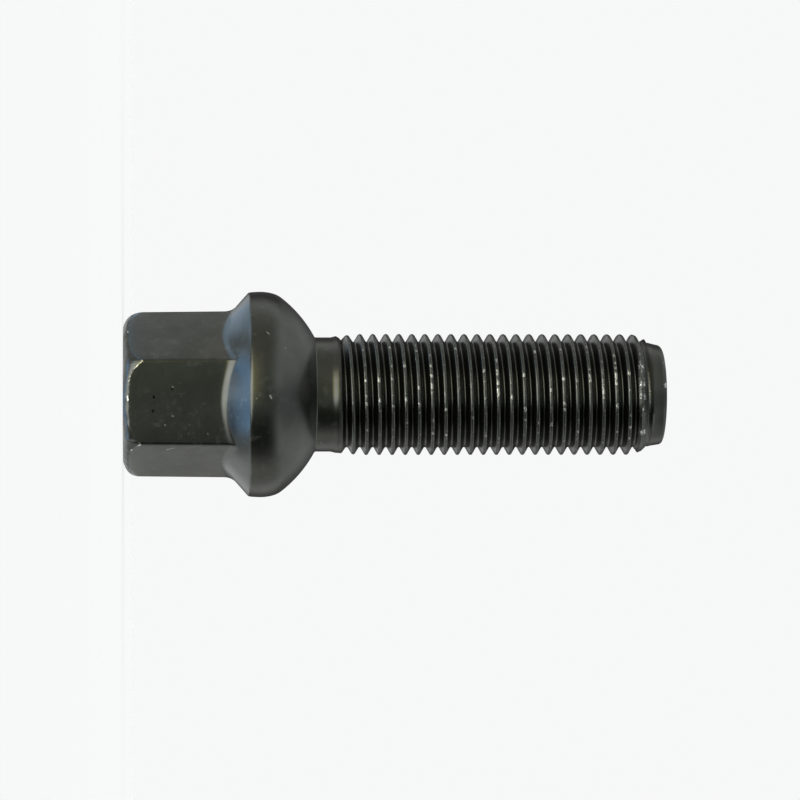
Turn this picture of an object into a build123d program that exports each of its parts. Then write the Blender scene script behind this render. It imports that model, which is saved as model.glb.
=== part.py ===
from build123d import *
import math
import os

# Ball-seat wheel bolt, forged in one piece from steel. Millimetres and degrees.
# It stands on its head: the flat end of the head is at z = 0, and the shank points up.

# Hexagon, with a forged round at its end that dies out at the corners
hexagon_across_flats = 16.7
hexagon_end_inset = 1.85
hexagon_end_rise = 2.6
hexagon_foot_round = 1.5

# Collar behind the hexagon, and the spherical seat that centres the wheel. The rim
# lies midway between the hexagon's corners and the seat's radius, less a small inset.
seat_radius = 14.0
collar_inset = 0.05
collar_rim_height = 2.78
collar_back_angle = 48.5
collar_edge_round = 0.9

# Head height, up to where the seat meets the neck, and the shank beyond it
head_height = 21.87
shank_length = 40.0
neck_diameter = 13.1
neck_length = 2.4
neck_fillet = 1.4

# Thread, as the plain cylinder over its crests
thread_diameter = 14.0
thread_pitch = 1.5
runout_turns = 1.5
lead_in_angle = 24.0

# Unthreaded pilot at the tip, just under the root of the thread
pilot_clearance = 0.18
pilot_length = 1.15
pilot_taper = 0.15
pilot_end_round = 0.9

# Radii that follow from the sizes above. A rolled metric thread has its root
# 0.6134 of the pitch below its crests.
root_depth_per_pitch = 0.6134
hexagon_corner_radius = hexagon_across_flats / 2 / math.cos(math.radians(30))
hexagon_end_radius = hexagon_corner_radius - hexagon_end_inset
collar_radius = (hexagon_corner_radius + seat_radius) / 2 - collar_inset
neck_radius = neck_diameter / 2
thread_radius = thread_diameter / 2
pilot_radius = thread_radius - root_depth_per_pitch * thread_pitch - pilot_clearance
tip_radius = pilot_radius - pilot_taper

# Heights, from the head to the tip
seat_centre_height = head_height - math.sqrt(seat_radius**2 - neck_radius**2)
rim_top = seat_centre_height + math.sqrt(seat_radius**2 - collar_radius**2)
rim_bottom = rim_top - collar_rim_height
runout_start = head_height + neck_length
thread_start = runout_start + runout_turns * thread_pitch
tip_height = head_height + shank_length
pilot_start = tip_height - pilot_length
lead_in_start = pilot_start - (thread_radius - pilot_radius) / math.tan(math.radians(lead_in_angle))


def turned_body():
    """Collar, seat, neck, shank and pilot: one outline turned about the axis.

    Turned outlines start on the YZ plane, so that their seams meet a flat of the hexagon, not a corner.
    """
    core_radius = hexagon_across_flats / 2 - hexagon_foot_round
    core_height = rim_bottom - (collar_radius - core_radius) / math.tan(math.radians(collar_back_angle))
    middle_radius = (collar_radius + neck_radius) / 2
    seat_middle = (middle_radius, seat_centre_height + math.sqrt(seat_radius**2 - middle_radius**2))
    collar_edge = (collar_radius, rim_top)
    neck_foot = (neck_radius, head_height)
    tip_edge = (tip_radius, tip_height)

    with BuildSketch(Plane.YZ) as outline:
        with BuildLine():
            Polyline(
                (0, tip_height),
                (0, core_height),
                (core_radius, core_height),
                (collar_radius, rim_bottom),
                collar_edge,
            )
            ThreePointArc(collar_edge, seat_middle, neck_foot)
            Polyline(
                neck_foot,
                (neck_radius, runout_start),
                (thread_radius, thread_start),
                (thread_radius, lead_in_start),
                (pilot_radius, pilot_start),
                tip_edge,
                (0, tip_height),
            )
        make_face()
        for corner, radius in (
            (collar_edge, collar_edge_round),
            (neck_foot, neck_fillet),
            (tip_edge, pilot_end_round),
        ):
            fillet(outline.vertices().sort_by_distance(corner)[0], radius)
    return revolve(outline.sketch, Axis.Z)


def hexagon_head():
    """The hexagon, standing on its rounded end and running up into the collar."""
    corner_foot = (hexagon_corner_radius, hexagon_end_rise)
    corner_top = (hexagon_corner_radius, rim_bottom)
    with BuildSketch(Plane.YZ) as envelope:
        with BuildLine():
            TangentArc(corner_foot, (hexagon_end_radius, 0), tangent=(0, -1))
            Polyline((hexagon_end_radius, 0), (0, 0), (0, rim_bottom), corner_top, corner_foot)
        make_face()
    with BuildSketch() as hexagon:
        RegularPolygon(hexagon_across_flats / 2, 6, major_radius=False)
    return extrude(hexagon.sketch, rim_bottom) & revolve(envelope.sketch, Axis.Z)


body = turned_body()
head = hexagon_head()
union = body + head
wheel_bolt = fillet(new_edges(body, head, combined=union), hexagon_foot_round)

os.makedirs("parts", exist_ok=True)
export_step(wheel_bolt, "parts/wheel_bolt.step")
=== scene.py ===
import math

import bmesh
import bpy
import numpy as np
from mathutils import Matrix, Vector


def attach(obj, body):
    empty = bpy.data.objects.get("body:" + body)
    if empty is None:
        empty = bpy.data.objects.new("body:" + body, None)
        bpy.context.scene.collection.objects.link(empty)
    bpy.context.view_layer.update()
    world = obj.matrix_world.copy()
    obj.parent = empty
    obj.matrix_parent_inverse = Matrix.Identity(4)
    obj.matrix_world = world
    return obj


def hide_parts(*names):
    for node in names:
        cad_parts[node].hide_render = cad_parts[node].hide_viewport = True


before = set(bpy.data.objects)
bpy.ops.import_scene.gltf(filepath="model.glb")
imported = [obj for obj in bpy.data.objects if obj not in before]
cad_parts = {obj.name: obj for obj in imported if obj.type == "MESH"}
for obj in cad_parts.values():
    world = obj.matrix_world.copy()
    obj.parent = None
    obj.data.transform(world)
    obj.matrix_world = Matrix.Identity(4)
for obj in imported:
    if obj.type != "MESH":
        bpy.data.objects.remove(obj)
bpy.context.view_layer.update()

# Bolt: one steel blank, cold-forged into a hexagon head with a collar and a ball seat, its thread
# rolled into the shank afterwards, so that it is all one piece. It is drawn in millimetres, in
# columns of points from the flat end of the head up to the tip, close together at the corners.
millimetre = 0.001
hexagon_corners = 6
flat_distance = 8.34
flat_crown = 0.08
flat_steps = 22
corner_round = 0.5
corner_turn = math.radians(30)
corner_steps = 7


def hump(share):
    """0 at both ends of a run, and 1 at its middle."""
    return 4 * share * (1 - share)


def hexagon_columns():
    """The angle and the radius of each column where it stands on the rounded hexagon."""
    arc_centre = (flat_distance - corner_round) / math.cos(corner_turn)
    turns = np.linspace(-corner_turn, corner_turn, corner_steps)
    corner = arc_centre + corner_round * np.exp(1j * turns)
    next_corner = corner * np.exp(2j * corner_turn)
    along = np.linspace(0, 1, flat_steps + 1)[1:-1]
    crown = flat_crown * hump(along) * np.exp(1j * corner_turn)
    flat = corner[-1] + along * (next_corner[0] - corner[-1]) + crown
    sector = np.concatenate([corner, flat])
    sectors = [sector * np.exp(2j * corner_turn * number) for number in range(hexagon_corners)]
    points = np.concatenate(sectors)
    angles = np.angle(points) % math.tau
    order = np.argsort(angles)
    return angles[order], np.abs(points)[order]


column_angle, hexagon_radius = hexagon_columns()
column_count = len(column_angle)
corner_share = (hexagon_radius - flat_distance) / (hexagon_radius.max() - flat_distance)


class Rings:
    """Rings of points stacked up the bolt, with how worn each ring is."""

    def __init__(self):
        self.radius = []
        self.height = []
        self.wear = []

    def add(self, radius, height, wear=0.0):
        """One ring; each value is the same all round, or there is one for each column."""
        for store, value in ((self.radius, radius), (self.height, height), (self.wear, wear)):
            store.append(np.broadcast_to(value, column_count).astype(float))

    def soft_corner(self, before, corner, after, steps, wear=0.0):
        """Rings that cut a corner with a smooth curve; each place is a radius and a height."""
        places = (before, corner, after)
        for step in np.linspace(0, 1, steps):
            shares = ((1 - step) ** 2, 2 * step * (1 - step), step**2)
            radius = sum(share * place[0] for share, place in zip(shares, places))
            height = sum(share * place[1] for share, place in zip(shares, places))
            self.add(radius, height, wear * hump(step))


# Hexagon: forged, so its flats draw in a little towards the end, and the end is rounded over,
# further on one side than on the other. Tools have rubbed the edge of that round bright in places.
draft = 0.0012
foot_height = 11.7
end_face_radii = (2.0, 4.0, 6.0)
end_round_steps = 9
edge_height_at_flats = 0.55
edge_rise_to_corners = 1.45
edge_rise_lean = 0.25
edge_arc_power = 2.0
edge_arc_lean = 0.6
edge_rag = 0.045
edge_trim = 0.16
edge_steps = 5
wide_side_angle = math.radians(200)
chance_seed = 14

# Each rubbed place along an edge: its angle and half width in degrees, and how bright it is
edge_rubs = (
    (20, 6, 0.5),
    (65, 4, 0.8),
    (118, 8, 0.5),
    (163, 4, 0.6),
    (205, 5, 0.3),
    (242, 3, 1.0),
    (252, 5, 0.35),
    (267, 2.5, 0.9),
    (301, 2, 0.7),
    (309, 2, 0.6),
)


def to_corner(flat, corner):
    """A value that goes from one at the middle of a flat to another at a corner."""
    return flat + (corner - flat) * corner_share


end_radius = to_corner(7.83, 7.6)
end_tilt = np.radians(to_corner(34, 10))
edge_tilt = np.radians(to_corner(52, 83))


def rubbed_places(rubs, everywhere=0.1):
    """How worn each column is along an edge."""
    degrees = np.degrees(column_angle)
    wear = everywhere
    for angle, half_width, brightness in rubs:
        wear = wear + brightness * np.exp(-(((degrees - angle) / half_width) ** 2))
    return wear


def drafted(radius, height):
    """The hexagon's radius at a height, drawn in below its foot."""
    return radius * (1 - draft * (foot_height - height))


def back_along_round(place, length):
    """A place moved back down the slope that the round has at its edge."""
    return place[0] - length * np.cos(edge_tilt), place[1] - length * np.sin(edge_tilt)


chance = np.random.default_rng(chance_seed)
wide_side = np.cos(column_angle - wide_side_angle)
edge_rise = edge_rise_to_corners + edge_rise_lean * wide_side
edge_arc = corner_share ** (edge_arc_power + edge_arc_lean * wide_side)
edge_height = edge_height_at_flats + edge_rise * edge_arc
edge_height = edge_height + edge_rag * chance.standard_normal(column_count)
flat_start = edge_height + edge_trim

edge = (drafted(hexagon_radius, edge_height), edge_height)
round_end = back_along_round(edge, edge_trim)
round_width = round_end[0] - end_radius
tilt_gap = np.sin(edge_tilt) - np.cos(edge_tilt) * np.tan(end_tilt)
round_corner = back_along_round(round_end, (round_end[1] - round_width * np.tan(end_tilt)) / tilt_gap)

head = Rings()
for radius in end_face_radii:
    head.add(radius, 0.0)
head.soft_corner((end_radius, 0.0), round_corner, round_end, end_round_steps)
flat_begin = (drafted(hexagon_radius, flat_start), flat_start)
head.soft_corner(round_end, edge, flat_begin, edge_steps, rubbed_places(edge_rubs))

# Collar: upset from the same blank behind the hexagon, whose foot rounds into the collar's sloping
# back, more widely at the corners than at the flats.
rim_bottom = 14.3
rim_bottom_radius = 11.68
rim_edge_trim = 0.2
collar_back_angle = math.radians(48.5)
foot_round_at_flats = 1.27
foot_round_gain = 0.73
flat_rings = 24
foot_rings = 9
back_rings = 8

foot_round = foot_round_at_flats + foot_round_gain * corner_share**2
back_height = rim_bottom - (rim_bottom_radius - hexagon_radius) / math.tan(collar_back_angle)
foot_start = back_height - foot_round * math.tan(collar_back_angle / 2)
for share in np.linspace(0, 1, flat_rings)[1:-1]:
    height = flat_start + share * (foot_start - flat_start)
    head.add(drafted(hexagon_radius, height), height)
for turn in np.linspace(0, collar_back_angle, foot_rings):
    radius = drafted(hexagon_radius, foot_start) + foot_round * (1 - math.cos(turn))
    head.add(radius, foot_start + foot_round * math.sin(turn))
back_start = (head.radius[-1], head.height[-1])
back_end = (
    rim_bottom_radius - rim_edge_trim * math.sin(collar_back_angle),
    rim_bottom - rim_edge_trim * math.cos(collar_back_angle),
)
for share in np.linspace(0, 1, back_rings)[1:-1]:
    head.add(*(start + share * (end - start) for start, end in zip(back_start, back_end)))

# Rim, seat and neck: the rim is slightly barrelled and turns softly into the spherical seat, which
# centres the wheel. The seat ends at a plain neck, which flares a little where the thread begins.
rim_middle = 15.75
rim_middle_radius = 11.76
rim_shoulder = 16.5
rim_shoulder_radius = 11.69
rim_end = 16.2
rim_corner = (11.604, 17.37)
rim_edge_wear = 0.12
rim_edge_steps = 5
rim_rings = 13
shoulder_steps = 11
seat_radius = 14.0
seat_centre = 9.497
seat_begin = 18.0
seat_rings = 18
neck_radius = 6.55
neck_foot_trim = 0.15
neck_foot_steps = 8
neck_heights = (22.8, 23.15, 23.5)
flare_start = 23.7
flare_end = 24.3
flare_radius = 6.7
flare_rings = 4


def on_rim(height):
    """The rim's radius and the height, swelling from both of its edges to its middle."""
    if height < rim_middle:
        nearer_edge, nearer_radius = rim_bottom, rim_bottom_radius
    else:
        nearer_edge, nearer_radius = rim_shoulder, rim_shoulder_radius
    from_middle = (height - rim_middle) / (nearer_edge - rim_middle)
    return rim_middle_radius - (rim_middle_radius - nearer_radius) * from_middle**2, height


def on_seat(turn):
    """The radius and height on the seat's sphere, at a turn from the axis."""
    return seat_radius * math.sin(turn), seat_centre + seat_radius * math.cos(turn)


rim_start = rim_bottom + rim_edge_trim
rim_edge = (rim_bottom_radius, rim_bottom)
head.soft_corner(back_end, rim_edge, on_rim(rim_start), rim_edge_steps, rim_edge_wear)
for height in np.linspace(rim_start, rim_end, rim_rings)[1:-1]:
    head.add(*on_rim(height))
rim_turn = math.acos((seat_begin - seat_centre) / seat_radius)
neck_turn = math.asin(neck_radius / seat_radius)
foot_turn = neck_turn + neck_foot_trim / seat_radius
head.soft_corner(on_rim(rim_end), rim_corner, on_seat(rim_turn), shoulder_steps)
for turn in np.linspace(rim_turn, foot_turn, seat_rings)[1:-1]:
    head.add(*on_seat(turn))
neck_foot = on_seat(neck_turn)
neck_begin = (neck_radius, neck_foot[1] + neck_foot_trim)
head.soft_corner(on_seat(foot_turn), neck_foot, neck_begin, neck_foot_steps)
for height in neck_heights:
    head.add(neck_radius, height)
for height in np.linspace(flare_start, flare_end, flare_rings):
    head.add(np.interp(height, (flare_start, flare_end), (neck_radius, flare_radius)), height)

# Thread: rolled, right-handed, with rounded crests and roots between flanks that meet at 60 degrees.
# It grows out of the neck over two turns, and a cone at the tip cuts it down to the pilot.
pitch = 1.5
crest_radius = 6.95
crest_full = 27.2
crest_steps = 7
crest_power = 20
root_radius = 6.05
root_round = 0.16
root_steps = 5
flank_turn = math.radians(60)
groove_height = 24.82
groove_angle = math.pi
groove_full = 25.2
thread_top = 60.3
turn_numbers = np.arange(-2, 27)
pilot_radius = 5.98
cone_heights = (58.4, 59.85, 60.0)
cone_radii = (crest_radius, 6.38, pilot_radius)
cone_bite = 0.02
cone_brightness = 0.3
standing_height = 0.2

thread_depth = crest_radius - root_radius
crest_round = pitch / 2 * math.tan(flank_turn) - thread_depth - root_round


def rolled_profile():
    """Points over one pitch: distance from the groove's middle, and share of the depth."""
    root = np.linspace(-flank_turn, flank_turn, root_steps)
    crest = np.linspace(-flank_turn, flank_turn, crest_steps)
    offsets = np.concatenate([root_round * np.sin(root), pitch / 2 + crest_round * np.sin(crest)])
    root_rise = root_round * (1 - np.cos(root))
    crest_rise = thread_depth - crest_round * (1 - np.cos(crest))
    return offsets, np.concatenate([root_rise, crest_rise]) / thread_depth


def eased(value, low, high):
    """0 below low, 1 above high, and a smooth step between them."""
    share = np.clip((value - low) / (high - low), 0, 1)
    return share * share * (3 - 2 * share)


profile_offset, profile_share = rolled_profile()
strands_per_turn = len(profile_offset)
strand_height = (groove_height + pitch * turn_numbers[:, None] + profile_offset[None, :]).ravel()
strand_share = np.tile(profile_share, len(turn_numbers))[:, None]

free_height = strand_height[:, None] + pitch * (column_angle[None, :] - groove_angle) / math.tau
thread_height = np.clip(free_height, flare_end, thread_top)
crest_line = np.interp(thread_height, (flare_end, crest_full), (flare_radius, crest_radius))
root_line = flare_radius + (root_radius - flare_radius) * eased(thread_height, flare_end, groove_full)
cone_line = np.interp(thread_height, cone_heights, cone_radii)
thread_surface = np.minimum(root_line + (crest_line - root_line) * strand_share, cone_line)
on_thread = (thread_height > flare_end) & (thread_height < thread_top)
in_cone = cone_line < crest_radius - cone_bite
cut_by_cone = in_cone & (cone_line > root_radius + standing_height)
thread_crest = np.where(in_cone, cone_brightness * cut_by_cone, strand_share**crest_power) * on_thread
thread_groove = (1 - strand_share) * on_thread

# Nicks: knocked into the crests when the bolt lay among others, most of them on one side. Screwing
# it in has also rubbed the start of the thread, where the cone cuts it.
nick_count = 170
nick_turns = (1, 24)
nick_side = math.radians(258)
nick_spread = 0.75
nick_sizes = (0.3, 1.0)
nick_length = 0.26
nick_height = 0.16
nick_depth = 0.07
nicked_share = 0.85
rubbed_share = 0.6
cone_rubs = ((236, 7, 0.3), (253, 5, 0.35), (266, 4, 0.4), (284, 3, 0.25), (304, 4, 0.4))

crest_turns = chance.integers(*nick_turns, nick_count) + 0.5
nick_offsets = chance.normal(0, nick_spread, nick_count)
nick_angles = (nick_side + nick_offsets) % math.tau
nick_strengths = chance.uniform(*nick_sizes, nick_count) * np.exp(-(nick_offsets**2) / 2)
nick_places = groove_height + pitch * (crest_turns + (nick_angles - groove_angle) / math.tau)
thread_nicks = np.zeros_like(thread_surface)
for place, angle, strength in zip(nick_places, nick_angles, nick_strengths):
    across = (thread_height - place) / nick_height
    along = crest_radius * (column_angle[None, :] - angle) / nick_length
    thread_nicks = np.maximum(thread_nicks, strength * np.exp(-(across**2) - along**2))
standing = (strand_share > nicked_share) & (thread_surface > root_radius + standing_height) & on_thread
thread_nicks = thread_nicks * standing
thread_surface = thread_surface - nick_depth * thread_nicks
rubbed_start = cut_by_cone & (strand_share > rubbed_share)
thread_nicks = np.maximum(thread_nicks, rubbed_places(cone_rubs) * rubbed_start)

# Tip: a short plain pilot under the thread's root, which finds the hole. Its end was sheared a
# little askew, so the round at its edge is wider on one side.
tip_height = 61.87
tip_radius = 5.7
tip_face_radii = (4.5, 3.6, 2.4, 1.2)
tip_round = 0.62
tip_round_lean = 0.2
tip_round_height = 0.9
tip_steps = 9
# A little of the flanks' painted shade darkens the tip too, and keeps the dust off it
tip_painted_shade = 0.08
tip_rubs = ((40, 9, 0.5), (130, 6, 0.6), (223, 4, 0.3), (253, 3, 0.6))
pilot_end_radius = 5.76
pilot_ring_rise = 0.2
pilot_ring_share = 0.3

pilot_ring_radius = pilot_radius + pilot_ring_share * (pilot_end_radius - pilot_radius)
tip_round_width = tip_round - tip_round_lean * np.cos(column_angle)
tip = Rings()
tip.add(pilot_radius, thread_top)
tip.add(pilot_ring_radius, thread_top + pilot_ring_rise)
tip.soft_corner(
    (pilot_end_radius, tip_height - tip_round_width * tip_round_height),
    (tip_radius, tip_height),
    (tip_radius - tip_round_width, tip_height),
    tip_steps,
    rubbed_places(tip_rubs),
)
for radius in tip_face_radii:
    tip.add(radius, tip_height)

# The whole bolt as one closed skin: rings for the head, strands that climb along the thread, and
# rings for the tip. Each point also keeps how worn it is, and how near a crest or a groove; the tip
# is given a little groove too, which darkens it with some of the grooves' painted shade.
weld_distance = 0.002


def layer_faces(start, ring_count, strands_round):
    """Faces between the rings of a layer. After one turn, a strand meets the one that many further up."""
    faces = []
    for ring in range(ring_count - 1):
        for column in range(column_count):
            following = (column + 1) % column_count
            other = ring + strands_round if following == 0 else ring
            if other + 1 < ring_count:
                faces.append((
                    start + ring * column_count + column,
                    start + other * column_count + following,
                    start + (other + 1) * column_count + following,
                    start + (ring + 1) * column_count + column,
                ))
    return faces


def bolt_mesh():
    """The bolt's mesh, with its wear, crests and grooves as attributes."""
    plain_head = np.zeros_like(head.wear)
    plain_tip = np.zeros_like(tip.wear)
    layers = (
        (head.radius, head.height, (head.wear, plain_head, plain_head), 0),
        (thread_surface, thread_height, (thread_nicks, thread_crest, thread_groove), strands_per_turn),
        (tip.radius, tip.height, (tip.wear, plain_tip, plain_tip + tip_painted_shade), 0),
    )
    places, forms, faces = [], [], []
    start = 0
    for radius, height, form, strands_round in layers:
        radius = np.array(radius)
        ring_count = len(radius)
        across, along = radius * np.cos(column_angle), radius * np.sin(column_angle)
        places.append(np.stack([across, along, np.array(height)], axis=-1).reshape(-1, 3))
        forms.append(np.array(form).reshape(3, -1))
        faces.extend(layer_faces(start, ring_count, strands_round))
        start += ring_count * column_count
    places.append(np.array([[0, 0, 0], [0, 0, tip_height]]))
    forms.append(np.zeros((3, 2)))
    last_ring = start - column_count
    for column in range(column_count):
        following = (column + 1) % column_count
        faces.append((start, following, column))
        faces.append((start + 1, last_ring + column, last_ring + following))

    mesh = bpy.data.meshes.new("wheel_bolt_forging")
    mesh.from_pydata(np.concatenate(places) * millimetre, [], faces)
    for name, values in zip(("wear", "crest", "groove"), np.concatenate(forms, axis=1)):
        mesh.attributes.new(name, "FLOAT", "POINT").data.foreach_set("value", values)
    shape = bmesh.new()
    shape.from_mesh(mesh)
    bmesh.ops.remove_doubles(shape, verts=shape.verts, dist=weld_distance * millimetre)
    loose = [point for point in shape.verts if not point.link_faces]
    bmesh.ops.delete(shape, geom=loose, context="VERTS")
    bmesh.ops.recalc_face_normals(shape, faces=shape.faces)
    shape.to_mesh(mesh)
    shape.free()
    mesh.polygons.foreach_set("use_smooth", [True] * len(mesh.polygons))
    return mesh


bolt = bpy.data.objects.new("wheel_bolt_forging", bolt_mesh())
bpy.context.collection.objects.link(bolt)
even_shading = bolt.modifiers.new("even shading", "WEIGHTED_NORMAL")
even_shading.keep_sharp = True

# Coating: the bolt was dipped for a thin satin black coat, metallic and fine grained. It is rubbed
# to bare steel where the bolt is worn, scratched and pitted here and there, and dusty on the head.
# The thread's flanks carry painted shade for the grooves; crests and most of the roots keep the coat.
coat_black = (0.108, 0.112, 0.104, 1)
coat_grey = (0.135, 0.138, 0.13, 1)
# Painted shade for the thread's flanks, darker than the coat to stand for the shade in the grooves
painted_flank_shade = (0.065, 0.065, 0.06, 1)
pit_black = (0.012, 0.012, 0.011, 1)
bare_steel = (0.8, 0.79, 0.76, 1)
coat_roughness = 0.25
crest_roughness = 0.12
grain_roughness = 0.1
steel_smoothness = 0.1
dust_cover = 0.22
grain_depth = 0.00002
grain_strength = 0.2
cloud_relief = 0.5
rub_relief = 12
wear_weight = 0.8
rag_weight = 0.9
glint_share = 0.6
speck_share = 0.5
# The share of the flanks' painted shade left off the roots, so that they show as a lighter line
root_unshaded = 0.8

# Each pair is where a finish or a painted shade begins to show and where it is full, by the value it
# follows
cloud_edge = (0.3, 0.7)
rub_edge = (0.68, 0.93)
wear_edge = (0.02, 0.12)
glint_edge = (0.62, 0.7)
speck_edge = (0.8, 0.815)
dust_edge = (0.5, 0.72)
dust_patch_edge = (0.42, 0.62)
thread_edge = (0.0, 0.05)
# Where the flanks' painted shade begins, and where the roots are spared most of it
flank_shade_edge = (0.0, 0.2)
root_unshaded_edge = (0.86, 0.97)

# Each scratch or speck runs from one place to another, and has a width; pits are given likewise
coat_scratches = (
    ((5.45, -7.1, 4.9), (5.2, -7.5, 5.75), 0.14),
    ((-8.0, -8.6, 16.1), (-7.75, -8.82, 16.4), 0.13),
    ((-7.95, -8.65, 16.4), (-7.85, -8.73, 16.2), 0.1),
    ((-1.15, -11.7, 16.4), (-0.85, -11.73, 16.55), 0.32),
    ((2.5, -8.3, 4.7), (2.6, -8.3, 4.75), 0.2),
    ((-1.8, -8.3, 5.55), (-1.7, -8.3, 5.65), 0.2),
    ((1.5, -8.3, 5.5), (1.55, -8.3, 5.7), 0.18),
    ((3.5, -8.3, 9.5), (3.6, -8.3, 9.55), 0.18),
)
coat_pits = (
    ((-0.66, -8.3, 3.47), (-0.58, -8.3, 3.51), 0.36),
    ((0.92, -8.3, 3.36), (1.0, -8.3, 3.38), 0.36),
    ((-1.55, -8.3, 5.5), (-1.5, -8.3, 5.58), 0.3),
)
mark_core = 0.2
mark_edge = 0.5


class Shade:
    """A node's output. Arithmetic on it adds Math nodes to the same tree."""

    def __init__(self, socket):
        self.socket = socket
        self.tree = socket.id_data

    @classmethod
    def node(cls, tree, kind, settings=None, sockets=None, output=0):
        """Adds a node: its settings first, then the values or links of its sockets."""
        made = tree.nodes.new(kind)
        for name, value in (settings or {}).items():
            setattr(made, name, value)
        for name, value in (sockets or {}).items():
            if isinstance(value, Shade):
                tree.links.new(value.socket, made.inputs[name])
            else:
                made.inputs[name].default_value = value
        return cls(made.outputs[output]) if made.outputs else None

    def maths(self, operation, first, second):
        return self.node(self.tree, "ShaderNodeMath", {"operation": operation}, {0: first, 1: second})

    def __add__(self, other):
        return self.maths("ADD", self, other)

    def __radd__(self, other):
        return self.maths("ADD", other, self)

    def __sub__(self, other):
        return self.maths("SUBTRACT", self, other)

    def __rsub__(self, other):
        return self.maths("SUBTRACT", other, self)

    def __mul__(self, other):
        return self.maths("MULTIPLY", self, other)

    def __rmul__(self, other):
        return self.maths("MULTIPLY", other, self)

    def at_least(self, other):
        return self.maths("MAXIMUM", self, other)

    def at_most(self, other):
        return self.maths("MINIMUM", self, other)

    def step(self, low, high):
        """0 below low, 1 above high, and a smooth step between them."""
        settings = {"interpolation_type": "SMOOTHSTEP"}
        sockets = {"Value": self, "From Min": low, "From Max": high}
        return self.node(self.tree, "ShaderNodeMapRange", settings, sockets)

    def part(self, name):
        """One part of a vector, X, Y or Z, as a number."""
        return self.node(self.tree, "ShaderNodeSeparateXYZ", sockets={0: self}, output=name)

    def colour(self, low, high):
        """One colour where this is 0, another where it is 1."""
        # A Mix node has several sockets of each name, so the ones for colour go by number
        sockets = {0: self, 6: low, 7: high}
        return self.node(self.tree, "ShaderNodeMix", {"data_type": "RGBA"}, sockets, output=2)


def satin_black_coat():
    """The coating's material, placed by the object's own coordinates."""
    material = bpy.data.materials.new("satin_black_coat")
    material.use_nodes = True
    tree = material.node_tree
    tree.nodes.clear()
    place = Shade.node(tree, "ShaderNodeTexCoord", output="Object")

    def noise(scale, detail, roughness=0.5):
        sockets = {"Vector": place, "Scale": scale, "Detail": detail, "Roughness": roughness}
        return Shade.node(tree, "ShaderNodeTexNoise", {"noise_dimensions": "3D"}, sockets)

    def form(name):
        settings = {"attribute_type": "GEOMETRY", "attribute_name": name}
        return Shade.node(tree, "ShaderNodeAttribute", settings, output="Fac")

    def vector_maths(operation, sockets, output="Vector"):
        return Shade.node(tree, "ShaderNodeVectorMath", {"operation": operation}, sockets, output)

    def mark(start, end, width):
        """1 along a line between two places, and 0 beside it."""
        start, end = Vector(start) * millimetre, Vector(end) * millimetre
        width = width * millimetre
        run = end - start
        offset = vector_maths("SUBTRACT", {0: place, 1: start})
        share = vector_maths("DOT_PRODUCT", {0: offset, 1: run / run.length_squared}, "Value")
        nearest = vector_maths("SCALE", {0: run, "Scale": share.at_least(0).at_most(1)})
        distance = vector_maths("DISTANCE", {0: offset, 1: nearest}, "Value")
        return 1 - distance.step(mark_core * width, mark_edge * width)

    grain = noise(scale=4500, detail=3, roughness=0.6)
    cloud = noise(scale=320, detail=3)
    rag = noise(scale=4200, detail=3)
    crest = form("crest")
    wear = form("wear")
    groove = form("groove")
    rubbed = (wear * wear_weight + rag * rag_weight).step(*rub_edge) * wear.step(*wear_edge)
    glints = crest * noise(scale=5200, detail=2).step(*glint_edge) * glint_share
    specks = noise(scale=1500, detail=1).step(*speck_edge) * speck_share
    bare = rubbed.at_least(glints).at_least(specks)
    for scratch in coat_scratches:
        bare = bare.at_least(mark(*scratch))
    pitted = mark(*coat_pits[0])
    for pit in coat_pits[1:]:
        pitted = pitted.at_least(mark(*pit))
    smooth_coat = (1 - groove.step(*thread_edge)) * (1 - crest)
    dust_specks = noise(scale=1300, detail=4, roughness=0.65).step(*dust_edge)
    dust_patches = noise(scale=260, detail=2).step(*dust_patch_edge)
    dust = dust_specks * dust_patches * smooth_coat

    coat = cloud.step(*cloud_edge).colour(coat_black, coat_grey)
    # Painted shade: the flanks between crests and roots are darkened to stand for the shade in the
    # grooves
    groove_shade = groove.step(*flank_shade_edge) * (1 - groove.step(*root_unshaded_edge) * root_unshaded)
    worn = bare.colour(groove_shade.colour(coat, painted_flank_shade), bare_steel)
    roughness = coat_roughness + (grain - 0.5) * grain_roughness + crest * crest_roughness
    relief = grain + cloud * cloud_relief + rubbed * rag * rub_relief
    bump_sockets = {"Strength": grain_strength, "Distance": grain_depth, "Height": relief}
    surface = Shade.node(
        tree,
        "ShaderNodeBsdfPrincipled",
        sockets={
            "Base Color": pitted.colour(worn, pit_black),
            "Metallic": 1 - dust * dust_cover,
            "Roughness": roughness - bare * steel_smoothness,
            "Normal": Shade.node(tree, "ShaderNodeBump", sockets=bump_sockets),
        },
    )
    Shade.node(tree, "ShaderNodeOutputMaterial", sockets={"Surface": surface})
    return material


bolt.data.materials.append(satin_black_coat())
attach(bolt, "root")
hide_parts("wheel_bolt")

# Floor: a pale board, softly lit from within, that fades out round its edge and is clear from
# below. Lengths from here on are in metres.
floor_radius = 0.5
floor_gap = 0.00002
floor_fade = (0.1, 0.45)
floor_white = (0.8, 0.81, 0.82, 1)
floor_glow = (0.97, 0.961, 0.973, 1)
floor_glow_strength = 0.62
floor_roughness = 0.9
disc_corners = 96


def staged_material(name):
    """An empty material, its tree, a place on its surface and that place's distance from the middle."""
    material = bpy.data.materials.new(name)
    material.use_nodes = True
    tree = material.node_tree
    tree.nodes.clear()
    place = Shade.node(tree, "ShaderNodeTexCoord", output="Object")
    length = {"operation": "LENGTH"}
    distance = Shade.node(tree, "ShaderNodeVectorMath", length, {0: place}, output="Value")
    return material, tree, place, distance


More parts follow.
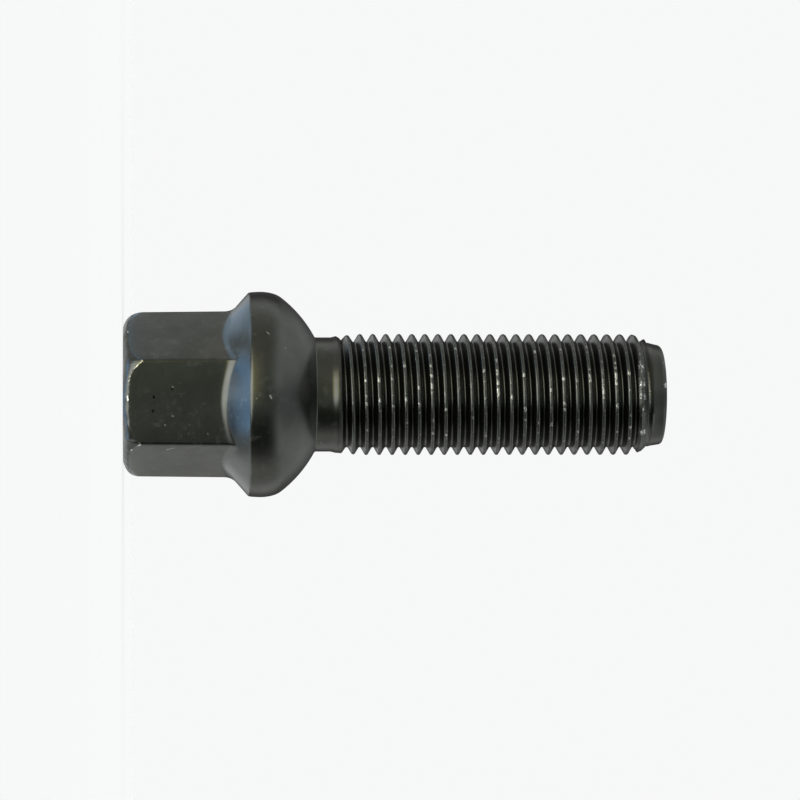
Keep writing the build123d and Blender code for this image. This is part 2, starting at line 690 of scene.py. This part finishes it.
def see_through(tree, share, surface):
    """Ends a material with a surface that is clear by a share."""
    clear = Shade.node(tree, "ShaderNodeBsdfTransparent")
    mixed = Shade.node(tree, "ShaderNodeMixShader", sockets={0: share, 1: surface, 2: clear})
    Shade.node(tree, "ShaderNodeOutputMaterial", sockets={"Surface": mixed})


def pale_board():
    """The floor's material."""
    material, tree, _, distance = staged_material("pale_board")
    board = Shade.node(
        tree,
        "ShaderNodeBsdfPrincipled",
        sockets={
            "Base Color": floor_white,
            "Roughness": floor_roughness,
            "Emission Color": floor_glow,
            "Emission Strength": floor_glow_strength,
        },
    )
    underside = Shade.node(tree, "ShaderNodeNewGeometry", output="Backfacing")
    see_through(tree, distance.step(*floor_fade).at_least(underside), board)
    return material


def disc(name, radius, height, material):
    """A flat round board, not attached to the bolt."""
    mesh = bpy.data.meshes.new(name)
    shape = bmesh.new()
    bmesh.ops.create_circle(shape, cap_ends=True, segments=disc_corners, radius=radius)
    shape.to_mesh(mesh)
    shape.free()
    mesh.materials.append(material)
    made = bpy.data.objects.new(name, mesh)
    made.location = (0, 0, height)
    bpy.context.collection.objects.link(made)
    return made


floor = disc("floor", floor_radius, -floor_gap, pale_board())
floor.visible_glossy = False
floor.visible_shadow = False

# Card: a glowing sheet just under the floor, which the camera doesn't see but the back of the collar
# mirrors. It is bluish on one side, has a hole round the head, and none of it lies in front.
card_radius = 0.08
card_depth = 0.0008
card_hole = (0.0115, 0.013)
card_front = (-0.0108, -0.0092)
card_fade = (0.036, 0.042)
card_lean = 0.45
card_grey = (0.36, 0.39, 0.41, 1)
card_blue = (0.7, 0.9, 1.13, 1)
card_pale = (0.8, 0.83, 0.83, 1)
card_grey_edge = (0.0128, 0.018)
card_blue_edge = (-0.01, 0.01)


def bluish_card():
    """The card's material."""
    material, tree, place, distance = staged_material("bluish_card")
    across = place.part("X")
    outer = across.step(*card_blue_edge).colour(card_blue, card_pale)
    tint = distance.step(*card_grey_edge).colour(card_grey, outer)
    glow = Shade.node(tree, "ShaderNodeEmission", sockets={"Color": tint})
    beside_head = distance.step(*card_hole)
    behind_front = place.part("Y").step(*card_front)
    beyond = (distance - across.at_least(0.0) * card_lean).step(*card_fade)
    see_through(tree, 1 - beside_head * behind_front * (1 - beyond), glow)
    return material


card = disc("card", card_radius, -card_depth, bluish_card())
card.visible_camera = False

# Room light, which the coating mirrors: dim in front and straight behind, paler on both sides and
# overhead, bright and warm low down in front, bluish straight below, and pale low down behind.
front_grey = (0.19, 0.217, 0.184, 1)
front_dark = (0.04, 0.045, 0.035, 1)
warm_grey = (0.28, 0.28, 0.24, 1)
back_dark = (0.09, 0.09, 0.09, 1)
side_grey = (0.46, 0.46, 0.43, 1)
side_pale = (0.66, 0.67, 0.65, 1)
ceiling_grey = (0.3, 0.33, 0.33, 1)
ceiling_pale = (0.6, 0.63, 0.61, 1)
low_warm = (1.35, 1.22, 0.5, 1)
low_pale = (0.7, 0.74, 0.68, 1)
low_bright = (2.2, 2.25, 2.15, 1)
below_grey = (0.48, 0.5, 0.5, 1)
below_blue = (0.75, 1.38, 2.3, 1)
behind_pale = (0.8, 0.82, 0.82, 1)
backdrop = (0.93, 0.935, 0.935, 1)
back_lean = 0.1
back_lean_right = 0.33
ceiling_middle = 0.07
low_right = 0.1
low_right_widening = 0.62

# Each pair is where one light fades into the next, by a part of the direction or by its square
front_dark_edge = (0.08, 0.45)
warm_edge = (0.0, 0.8)
side_edge = (0.25, 0.8)
back_edge = (-0.3, 0.45)
far_side_edge = (0.3, 0.77)
far_back_edge = (0.25, 0.6)
ceiling_spread = (0.0, 0.15)
ceiling_edge = (0.25, 0.75)
low_edge = (0.08, 0.24)
low_front_edge = (-0.1, 0.5)
low_right_edge = (0.0, 0.3)
low_left_edge = (-0.95, -0.55)
low_warm_edge = (-0.15, 0.1)
low_bright_edge = (0.2, 0.5)
below_edge = (0.25, 0.5)
below_back_edge = (-0.15, 0.08)
blue_edge = (0.82, 0.94)
blue_back_edge = (-0.12, 0.06)
blue_side_edge = (0.09, 0.17)
behind_edge = (0.12, 0.3)
behind_heading_edge = (0.65, 0.9)
behind_back_edge = (0.12, 0.34)

world = bpy.data.worlds.new("room")
bpy.context.scene.world = world
world.use_nodes = True
room = world.node_tree
room.nodes.clear()

direction = Shade.node(room, "ShaderNodeTexCoord", output="Generated")
sideways = direction.part("X")
back = direction.part("Y")
up = direction.part("Z")
down = 0 - up
flattened = Shade.node(room, "ShaderNodeCombineXYZ", sockets={"X": sideways, "Y": back})
heading = Shade.node(room, "ShaderNodeVectorMath", {"operation": "NORMALIZE"}, {0: flattened})
heading_side = heading.part("X")
heading_back = heading.part("Y")
heading_spread = heading_side * heading_side

dim_front = heading_side.step(*front_dark_edge).colour(front_grey, front_dark)
warm_side = (0 - heading_side).step(*warm_edge).colour(dim_front, warm_grey)
both_sides = heading_spread.step(*side_edge).colour(back_dark, side_grey)
turned_back = heading_back + heading_side * back_lean + heading_side.at_least(0.0) * back_lean_right
around = turned_back.step(*back_edge).colour(warm_side, both_sides)
far_sides = heading_spread.step(*far_side_edge) * heading_back.step(*far_back_edge)
walls = far_sides.colour(around, side_pale)
off_middle = sideways - ceiling_middle
ceiling = (off_middle * off_middle).step(*ceiling_spread).colour(ceiling_grey, ceiling_pale)
upper = up.step(*ceiling_edge).colour(walls, ceiling)

front = (0 - heading_back).step(*low_front_edge)
not_right = (low_right + down * low_right_widening - heading_side).step(*low_right_edge)
not_left = heading_side.step(*low_left_edge)
low_front = down.step(*low_edge) * not_right * not_left * front
low_rim = heading_side.step(*low_warm_edge).colour(low_warm, low_pale)
low_light = down.step(*low_bright_edge).colour(low_rim, low_bright)
lower = low_front.colour(upper, low_light)

underneath = down.step(*below_edge) * back.step(*below_back_edge)
near_middle = 1 - (sideways * sideways).step(*blue_side_edge)
straight_down = down.step(*blue_edge) * back.step(*blue_back_edge) * near_middle
below = straight_down.colour(underneath.colour(lower, below_grey), below_blue)
behind_low = down.step(*behind_edge) * back.step(*behind_back_edge)
low_behind = behind_low * heading_back.step(*behind_heading_edge)
room_light = low_behind.colour(below, behind_pale)

lit = Shade.node(room, "ShaderNodeBackground", sockets={"Color": room_light})
seen = Shade.node(room, "ShaderNodeBackground", sockets={"Color": backdrop})
by_eye = Shade.node(room, "ShaderNodeLightPath", output="Is Camera Ray")
both = Shade.node(room, "ShaderNodeMixShader", sockets={0: by_eye, 1: lit, 2: seen})
Shade.node(room, "ShaderNodeOutputWorld", sockets={"Surface": both})
bpy.context.scene.view_settings.view_transform = "Standard"

# Camera: a long lens, close to the floor and tipped up a little, turned on its side so that the
# bolt lies across the picture with its head on the left.
picture_width = 800
focal_pixels = 3736
sensor_width = 36.0
nearest_seen = 0.01
camera_distance = 0.428
camera_height = 0.00242
camera_turn = math.radians(-6.3)
camera_tip = 0.0683
axis_rise = 0.00063

camera_data = bpy.data.cameras.new("camera")
camera_data.sensor_width = sensor_width
camera_data.lens = sensor_width * focal_pixels / picture_width
camera_data.clip_start = nearest_seen
level = Vector((-math.sin(camera_turn), math.cos(camera_turn), 0))
upright = Vector((0, 0, 1))
forward = level * math.cos(camera_tip) + upright * math.sin(camera_tip)
right = upright * math.cos(camera_tip) - level * math.sin(camera_tip)
above = right.cross(forward)
camera = bpy.data.objects.new("camera", camera_data)
stand = -level * camera_distance + upright * camera_height - above * axis_rise
camera.matrix_world = Matrix.Translation(stand) @ Matrix((right, above, -forward)).transposed().to_4x4()
bpy.context.collection.objects.link(camera)
bpy.context.scene.camera = camera
